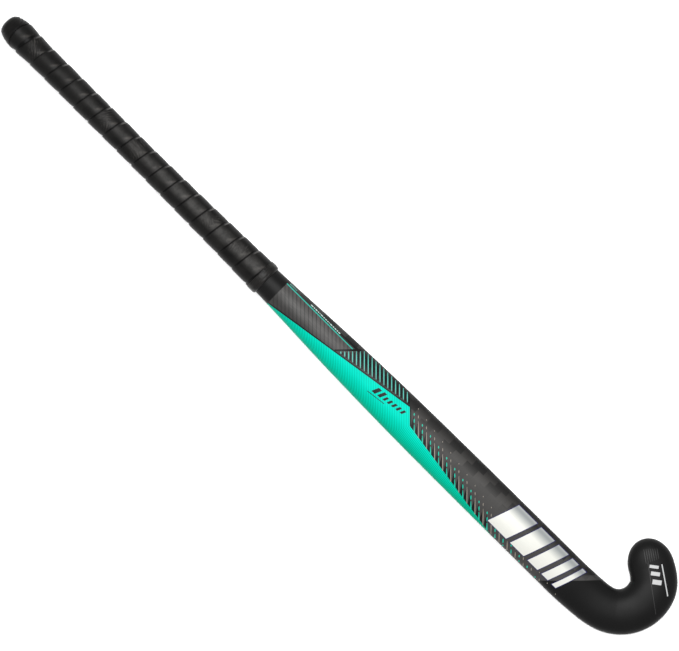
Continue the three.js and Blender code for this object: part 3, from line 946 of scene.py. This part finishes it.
# What flies off the wedge's far side, once in each pitch: the part of a pitch at which its line
# leaves the wedge, and its marks, each (nearest, furthest, widths) from the wedge.
FLIGHTS = {
    "teal": (0.555, [(-0.6, 7.6, [1.5, 1.0, 0.5]), (9.2, 13.8, [0.5, 1.4, 0.5]),
                     (16.9, 19.5, [0.6, 1.3, 0.6])]),
    "beige": (1.064, [(-0.2, 17.0, [0.7, 0.8, 0.75, 0.3]), (19.8, 23.0, [0.35, 0.8, 0.35]),
                      (28.8, 30.2, [0.4, 0.6, 0.4])]),
}
# Pointed black leaves stand between them: where each ends on the wedge, its width and length.
LEAVES = [(0.5, 5.0, 15.5), (0.985, 5.4, 13.5)]


def far_point(pitches):
    """The point of the wedge's far side that is so many pitches past its knee."""
    x = WEDGE_KNEE[0] + pitches * DASH_PITCH
    return np.array([x, wedge_far(x)])


def leaf(pitches, width, length):
    """A black leaf that is cut off along the wedge and runs to a point."""
    end = far_point(pitches)
    start = end - np.array([width, WEDGE_SLOPE * width])
    tip = end + length * DIAGONAL
    sides = ((start, tip - (0.25, 0)), (end, tip))
    back = HALF_WIDTH(end[0]) * 0.97 - spine_at(end[0])[1]
    return patch(*sides, 2, across=2) if end[1] > -back else None


def dashes():
    """Teal and beige marks and black leaves that fly off the wedge's long far side."""
    looks = {"teal": TEAL_DASH, "beige": BEIGE_PRINT}
    for name, (phase, marks) in FLIGHTS.items():
        bodies = []
        for k in range(DASH_COUNT):
            root = far_point(k + phase)
            for near, far, widths in marks:
                bodies += stroke(root + near * DIAGONAL, root + far * DIAGONAL, widths, 3)
        printed(f"{name}_dashes", bodies, looks[name])
    leaves = [leaf(k + part, width, length) for k in range(DASH_COUNT)
              for part, width, length in LEAVES]
    printed("black_leaves", [one for one in leaves if one], BLACK_PRINT)


# Slanted bars in place of lettering: each one's x at the foot and its width, then the y of every
# foot and head, how far a bar leans for each millimetre of y, and the width of its outline.
BIG_BARS = [(724, 27), (757, 20), (783, 14.5), (803.5, 9.5), (819, 5.5)]
BIG_FOOT, BIG_HEAD = -13.4, 20.4
BAR_LEAN = 0.36
BAR_OUTLINE = 0.7


def bar(x, width, foot, head, lean, layer, grow=0.0, place=on_shaft):
    """A slanted bar in plan, from its foot to its head."""
    low_x, high_x = x - lean * grow, x + lean * (head - foot + grow)
    sides = []
    for shift in (-grow, width + grow):
        sides.append(((low_x + shift, foot - grow), (high_x + shift, head + grow)))
    return patch(*sides, layer, across=max(2, int(width)), place=place)


def big_bars():
    """The silver bars on the back, with their dark outlines."""
    bars = [(x, width, BIG_FOOT, BIG_HEAD, BAR_LEAN) for x, width in BIG_BARS]
    printed("bar_outlines", [bar(*one, 4, grow=BAR_OUTLINE) for one in bars], NAVY_PRINT)
    printed("silver_bars", [bar(*one, 5) for one in bars], SILVER)


WEDGE_MARKS_START = (543, -3.4)
WEDGE_MARKS_SLOPE = 0.13
WEDGE_MARKS = [(4.6, 7.6), (3.8, 7.6), *[(2.8, 5)] * 5]  # widths and heights
WEDGE_MARKS_GAP = 2.8
WEDGE_MARKS_LEAN = 0.45
UNDERLINE = [(540, -6.6), (562, -3.8)]


def wedge_marks():
    """Small slanted bars and an underline, in place of the wedge's lettering."""
    bodies = []
    x, start_y = WEDGE_MARKS_START
    for width, height in WEDGE_MARKS:
        base = start_y + WEDGE_MARKS_SLOPE * (x - WEDGE_MARKS_START[0])
        bodies.append(bar(x, width, base, base + height, WEDGE_MARKS_LEAN, 2))
        x += width + WEDGE_MARKS_GAP
    bodies += stroke(*UNDERLINE, [0.7, 0.7], 2)
    printed("wedge_marks", bodies, BLACK_PRINT)


def on_hook(x, y):
    """The (s, angle) of a point of the hook's back, from its plan place along and off the axis."""
    spots = np.arange(SHAFT_RUN, TOE_START + TOE_ROUND, 0.05)
    spine_x, spine_y, heading = spine_at(spots)
    x, y = (np.broadcast_to(a, np.broadcast_shapes(np.shape(x), np.shape(y))) for a in (x, y))
    near = np.argmin((x[:, None] - spine_x) ** 2 + (y[:, None] - spine_y) ** 2, axis=1)
    turn = heading[near]
    aside = (y - spine_y[near]) * np.cos(turn) - (x - spine_x[near]) * np.sin(turn)
    return on_back(spots[near], aside)


# Where the toe's pale line starts in plan, its direction, and the way in from it to the hook.
TOE_LINE_START = np.array([886.6, 82.3])
TOE_LINE_AHEAD = np.array([0.822, -0.569])
TOE_LINE_IN = np.array([-0.569, -0.822])
TOE_LINE_LENGTH = 34
TOE_BARS = [(2.5, 3.2), (10, 4), (19, 5)]  # how far ahead each bar under the line is, and its width
TOE_BAR_ENDS = (4, 13)  # how far in from the line they start and end
TOE_BAR_LEAN = 3
TOE_EDGE = [(875, 73.2), (919, 40.8)]
# The faint hatch: where its first line starts, the step to the next one, and a line's run and
# how that changes from line to line.
TOE_HATCH_COUNT = 7
TOE_HATCH_START, TOE_HATCH_STEP = np.array([862.3, 80]), np.array([1.5, 1.75])
TOE_HATCH_RUN, TOE_HATCH_CHANGE = np.array([12, -8.6]), np.array([-0.5, 0.35])


def toe_place(ahead, inward):
    """The plan place so far along the toe's line and in from it."""
    return TOE_LINE_START + ahead * TOE_LINE_AHEAD + inward * TOE_LINE_IN


def toe_marks():
    """A pale line and bars on the toe, a faint hatch and a faint diagonal edge."""
    pale = stroke(toe_place(0, 0), toe_place(TOE_LINE_LENGTH, 0), [1.2, 1.2], 2, on_hook)
    near, far = TOE_BAR_ENDS
    for ahead, width in TOE_BARS:
        start, end = toe_place(ahead, near), toe_place(ahead - TOE_BAR_LEAN, far)
        pale += stroke(start, end, [width, width], 2, on_hook)
    printed("toe_marks", pale, MARK_WHITE)
    faint = stroke(*TOE_EDGE, [0.5, 0.35], 1, on_hook)
    for i in range(TOE_HATCH_COUNT):
        start = TOE_HATCH_START + TOE_HATCH_STEP * i
        run = TOE_HATCH_RUN + TOE_HATCH_CHANGE * i
        faint += stroke(start, start + run, [0.3, 0.55, 0.3], 1, on_hook)
    printed("toe_hatch", faint, FAINT_PRINT)


# ---- the face's print


def on_face(x, u):
    """The (s, angle) of a point of the flat of the face that lies u across."""
    part = np.clip(u / FACE_HALF_WIDTH(x), -1, 1)
    return np.stack([x, FLAT_MIDDLE + (FLAT_END - FLAT_MIDDLE) * part], -1)


FACE_WEDGE = [470, 600, 640]  # the s of its start, of its widest place and of its end
FACE_WEDGE_WIDTHS = [0.6, 14, 0.6]
FACE_WEDGE_EDGE = 0.98  # its edge, as a part of the way from the middle of the flat to its side
FACE_BARS = [(660 + 26 * i, 18 - 4 * i) for i in range(4)]  # each one's s and its width
FACE_BAR_HEAD = 9.0
FACE_BAR_LEAN = 0.4


def face_print():
    """A teal wedge and silver bars along the flat of the face."""
    x = np.linspace(FACE_WEDGE[0], FACE_WEDGE[-1], 60)
    low = -FACE_WEDGE_EDGE * FACE_HALF_WIDTH(x)
    high = low + np.interp(x, FACE_WEDGE, FACE_WEDGE_WIDTHS)
    teal = [film(on_face(x, low), on_face(x, high), 12, 2)]
    printed("face_wedge", teal, TEAL_RIBBED)
    bars = [(x, width, -FACE_BAR_HEAD, FACE_BAR_HEAD, FACE_BAR_LEAN) for x, width in FACE_BARS]
    outlines = [bar(*one, 2, grow=BAR_OUTLINE, place=on_face) for one in bars]
    printed("face_outlines", outlines, NAVY_PRINT)
    printed("face_bars", [bar(*one, 3, place=on_face) for one in bars], SILVER)


# ---- the grip

GRIP_ENDS = (15.9, 380.8)
# The edge of the butt's cover sweeps along the handle by this much, at so many degrees round
# from the middle of the back.
SWEEP = smooth([(0, 0), (26, 0.6), (44, 1.9), (67, 3.9), (90, 5.4), (120, 5.4), (180, 2.8)])
GRIP_PITCH = 21.5
FIRST_LAP = 13.7
GRIP_LEAN = 0.55  # how much faster the strip runs along past the toe side than it does on average
GRIP_LEAN_ANGLE = math.radians(40)
# The first seam past the butt's cover is further along than the helix has it: the turn that is
# furthest, by how much, in pitches, and over how many turns that fades.
EARLY_TURN, EARLY_ADVANCE, EARLY_SPREAD = 1.75, 0.11, 0.45
STEPS_A_TURN = 120
# The strip's section: the height of its top at a distance from its edge, and its underside.
STRIP_TOP = smooth([
    (0, 1.42), (0.4, 1.8), (1.2, 2.03), (3, 2.1), (7, 2.02), (11, 1.93), (15, 1.82), (18, 1.64),
    (20.2, 1.3), (21.2, 1.02), (22.5, 0.85), (24.5, 0.6),
])
STRIP_TOP_X = np.concatenate([[0, 0.15, 0.4, 0.8, 1.3], np.arange(2, 20.1, 1),
                              [20.6, 21.0, 21.4, 22.2, 23.4, 24.5]])
STRIP_UNDER = [(24.5, 0.25), (14, 0.2), (3.6, 0.2), (3.1, 0.66), (1.2, 1.02), (0.1, 1.34)]


def edge_sweep(angle):
    """How much further along the cover's edge lies than at the middle of the back."""
    return SWEEP(np.abs(turned_from(MIDDLE, angle)))


def strip_advance(turn):
    """How far along the handle the strip has come, in pitches."""
    angle = -2 * np.pi * turn + GRIP_LEAN_ANGLE
    top = np.pi / 2 + GRIP_LEAN_ANGLE
    lean = GRIP_LEAN / (2 * np.pi) * (np.sin(angle) - math.sin(top))
    early = EARLY_ADVANCE * np.exp(-((turn - EARLY_TURN) / EARLY_SPREAD) ** 2)
    return turn - 1 - lean + early


def crease_height(s, angle):
    """The height that the creases add."""
    total = np.zeros_like(s)
    girth = HALF_WIDTH(s) + 1
    for at, centre, direction, height, spread in CREASES:
        turned = np.radians(turned_from(centre, angle)) * girth
        cosine, sine = math.cos(math.radians(direction)), math.sin(math.radians(direction))
        along = (s - at) * cosine + turned * sine
        aside = turned * cosine - (s - at) * sine
        window = np.exp(-(along / spread) ** 2 - (aside / (0.7 * spread)) ** 2)
        wobble = 0.8 * np.sin(along * 0.7 + at)
        ridge = np.sin(2 * np.pi * aside / CREASE_WAVE + wobble)
        total += height * window * (ridge + 0.5 * np.sin(2.3 * aside + 0.5 * along))
    return total


def pull_height(angle, x, turn):
    """Each turn bulges a little past its edge at the toe side's shoulder, and is never even."""
    shoulder = np.exp(-(turned_from(38, angle) / 20) ** 2)
    bulge = 0.28 * shoulder * np.exp(-((x - 2.6) / 2.2) ** 2)
    uneven = 0.06 * np.sin(2 * np.pi * turn * 1.27 + 0.7) + 0.05 * np.sin(turn * 17.3 + x * 0.35)
    return bulge + uneven * np.exp(-((x - 8) / 9) ** 2)


def grip():
    """The strip, wound round the handle from its butt end, each turn over the one before."""
    start, end = GRIP_ENDS
    turns = (end - FIRST_LAP) / GRIP_PITCH + 1
    turn = np.linspace(0, turns, round(turns * STEPS_A_TURN))[:, None]
    edge = FIRST_LAP + strip_advance(turn) * GRIP_PITCH
    angle = (-360 * turn) % 360
    top_x = STRIP_TOP_X[None, :]
    under = np.array(STRIP_UNDER)
    x = np.concatenate([STRIP_TOP_X, under[:, 0]])[None, :]
    spare = 0.02 * (x + 1)
    s = np.clip(edge + x, start + edge_sweep(angle) + spare, end - 0.6 + spare)
    top_s = s[:, :len(STRIP_TOP_X)]
    lift = crease_height(top_s, np.broadcast_to(angle, top_s.shape))
    lift = (lift + pull_height(angle, top_x, turn)) * np.clip(top_x / 0.8, 0, 1)
    lift = lift * np.clip((GRIP_PITCH - top_x) / 2, 0, 1)
    top = STRIP_TOP(top_x) + lift
    height = np.concatenate([top, np.broadcast_to(under[:, 1], (len(turn), len(under)))], 1)
    rings = surface(s, angle, height)
    wide = np.concatenate([x, x[:, :1]], 1)
    far = np.broadcast_to(turn * STRIP_TURN, (len(turn), wide.shape[1]))
    uv = np.stack([far, np.broadcast_to(wide, far.shape)], -1) * MM
    body = loft(rings, uv, first=rings[0].mean(0), last=rings[-1].mean(0))
    piece("grip_strip", body, GRIP, "grip_polyurethane", "grip_tape")


# ---- the butt and the finish tape

CAP_TOP = [
    (0.04, -10), (0.22, -8.4), (0.55, -6.4), (1, -4.9), (1.7, -3.2), (2.6, -1.9), (3.7, -0.9),
    (5, -0.1), (6.5, 0.5), (8, 0.9), (10, 1.25), (12.4, 1.45), (14.2, 1.5), (14.8, 1.3),
    (15.1, 0.9),
]
CAP_UNDER = [(15.1, 0.4), (14.5, 0.15), (7.6, 0.12), (4.3, -2.1), (2.9, -4.6)]
CAP_EDGE = 15.1  # the s of its edge, before the sweep
CAP_RIM = 14  # the underside's points past this s go with the edge
# Folds in the cap: the angle of a fold's middle, its s there, its height and its slant.
FOLDS = [(24, 7.6, 0.45, 0.075), (28, 10.6, 0.42, 0.07), (34, 13.0, 0.3, 0.05),
         (150, 5.2, 0.22, -0.05), (205, 9.0, 0.25, -0.04), (285, 8.0, 0.3, 0.05)]


def fold_height(s, angle):
    """Soft folds that run over the shoulder of the butt's cover."""
    total = np.zeros(np.broadcast_shapes(s.shape, angle.shape))
    for centre, at, height, slant in FOLDS:
        turned = turned_from(centre, angle)
        crest = s - at - slant * turned
        ridge = np.exp(-(crest / 0.75) ** 2) - np.exp(-((crest - 1.5) / 0.7) ** 2)
        total = total + height * np.exp(-(turned / 34) ** 2) * ridge
    return total


def butt_cover():
    """The soft cover folded over the butt."""
    ring_angles = angles_round(60, 10, 4)
    top, under = np.array(CAP_TOP), np.array(CAP_UNDER)
    part = np.linspace(0, 1, 71)
    places = np.linspace(0, 1, len(top))
    s, outset = (smooth(np.stack([places, column], -1))(part)[:, None] for column in top.T)
    lift = fold_height(s, ring_angles[None]) * np.clip(s / 4, 0, 1) * np.clip((15 - s) / 1.5, 0, 1)
    sweep = edge_sweep(ring_angles)
    outer = surface(s + sweep * np.clip(s / CAP_EDGE, 0, 1) ** 3, ring_angles, outset + lift)
    inner = surface(under[:, :1] + sweep * (under[:, :1] > CAP_RIM), ring_angles, under[:, 1:])
    rings = np.concatenate([outer, inner])
    uv = np.full((len(rings) + 1, len(ring_angles) + 1, 2), 0.01)
    tip = surface(0, 0, -float(HALF_WIDTH(0)))
    body = loft(rings, uv, first=tip, last=rings[-1].mean(0))
    piece("butt_cover", body, GRIP, "grip_polyurethane", "butt_cap")


# The tape's section, as (s, height): its outside first, and then its underside.
TAPE_OUTSIDE = [
    (374.4, 2.1), (374.5, 2.38), (375.2, 2.46), (377.5, 2.4), (379.6, 2.44), (380.9, 2.42),
    (381.2, 2.2), (382.2, 2.2), (383.4, 1.95), (384.3, 1.4), (384.8, 0.6),
]
TAPE_UNDER = [(384.9, 0.15), (383.6, 0.12), (382.4, 0.2), (381.6, 1.0), (381.4, 2.0), (378, 2.1)]
# The ripples that stretching leaves: their height, number round the handle, and drift along it.
TAPE_RIPPLES = [(0.10, 9, 0.8), (0.06, 23, -1.4), (0.05, 41, 2.2)]


def finish_band():
    """Two laps of stretched tape over the end of the grip."""
    profile = np.array([*TAPE_OUTSIDE, *TAPE_UNDER])
    ring_angles = angles_round(120, 24, 8)
    s, height = profile[:, :1], profile[:, 1:]
    streak = sum(rise * np.sin(np.radians(ring_angles) * number + s * drift)
                 for rise, number, drift in TAPE_RIPPLES)
    is_outside = (np.arange(len(profile)) < len(TAPE_OUTSIDE))[:, None]
    raised = streak * is_outside * np.clip((height - 0.3) / 1.2, 0, 1)
    rings = surface(s, ring_angles, height + raised)
    uv = girth_uv(rings, profile[:, 0])
    uv = np.concatenate([uv, uv[:1]])
    piece("finish_band", loft(rings, uv, loop=True), VINYL, "vinyl_tape", "finish_tape")


# ---- inner pieces


def inner_pieces():
    """The CAD pieces inside the stick keep their shape and take their material slot's look."""
    slots = {part["node"]: part["material_slot"] for part in frame["record"]["subparts"]}
    for name, node in frame["nodes"].items():
        if node.hide_render:
            continue
        look = INNER_LOOKS[slots[name]]
        node.data.materials.clear()
        node.data.materials.append(look)


# ---- floor, light and camera

FLOOR_SIZE = 12
FLOOR_DROP = 0.0004


def floor():
    """A plain pale floor just under the stick."""
    half = FLOOR_SIZE / 2
    z = GROUND_Z - FLOOR_DROP
    corners = [(-half, -half, z), (half, -half, z), (half, half, z), (-half, half, z)]
    mesh = bpy.data.meshes.new("floor")
    mesh.from_pydata(corners, [], [(0, 1, 2, 3)])
    look = Look("floor")
    cloud = look.noise(3.0, 3.0)
    rough = look.ramp(cloud, 0.3, 0.7, 0.85, 0.95)
    pale = look.mix(cloud, shade(0.88), shade(0.9))
    mesh.materials.append(look.done(pale, rough, specular=0.2))
    placed("floor", mesh)


def softbox(name, place, aim, size, power):
    """A square soft light at a place, turned to what it is aimed at."""
    light = bpy.data.lights.new(name, "AREA")
    light.shape = "SQUARE"
    light.size = size
    light.energy = power
    made = placed(name, light)
    made.location = place
    direction = np.array(aim, float) - np.array(place, float)
    flat = math.hypot(direction[0], direction[1])
    made.rotation_euler = (math.atan2(flat, -direction[2]), 0,
                           math.atan2(direction[1], direction[0]) - math.pi / 2)
    made.visible_camera = False


def light_it():
    """A white studio, with a broad key light and a weaker fill."""
    world = bpy.data.worlds.new("studio")
    world.use_nodes = True
    background = world.node_tree.nodes["Background"]
    background.inputs["Color"].default_value = (1, 1, 1, 1)
    background.inputs["Strength"].default_value = 1.0
    bpy.context.scene.world = world
    softbox("key", (-0.02, 0.3, 2.1), (0, 0, 0), 1.3, 70)
    softbox("fill", (-0.2, -1.8, 1.9), (0, 0, 0), 2.4, 8)
    bpy.context.scene.view_settings.view_transform = "Standard"


VIEW_WIDTH = 0.710
VIEW_HEIGHT = 0.02  # the height at which the view has that width
VIEW_CENTRE = (471.6, 21.07)  # in plan
VIEW_TURN = 44.93
LENS = 200
SENSOR = 36


def camera():
    """The camera, straight above the stick and turned so that it lies across the picture."""
    data = bpy.data.cameras.new("camera")
    data.lens = LENS
    data.sensor_width = SENSOR
    made = placed("camera", data)
    made.location = (
        BUTT_X + VIEW_CENTRE[0] * MM, AXIS_Y + VIEW_CENTRE[1] * MM,
        GROUND_Z + VIEW_HEIGHT + VIEW_WIDTH * LENS / SENSOR,
    )
    made.rotation_euler = (0, 0, math.radians(VIEW_TURN))
    bpy.context.scene.camera = made


camera()
light_it()
floor()
shell()
butt_cover()
grip()
finish_band()
grey_panel()
wedge()
wedge_outline()
hatch()
pinstripe()
dashes()
big_bars()
wedge_marks()
toe_marks()
face_print()
inner_pieces()
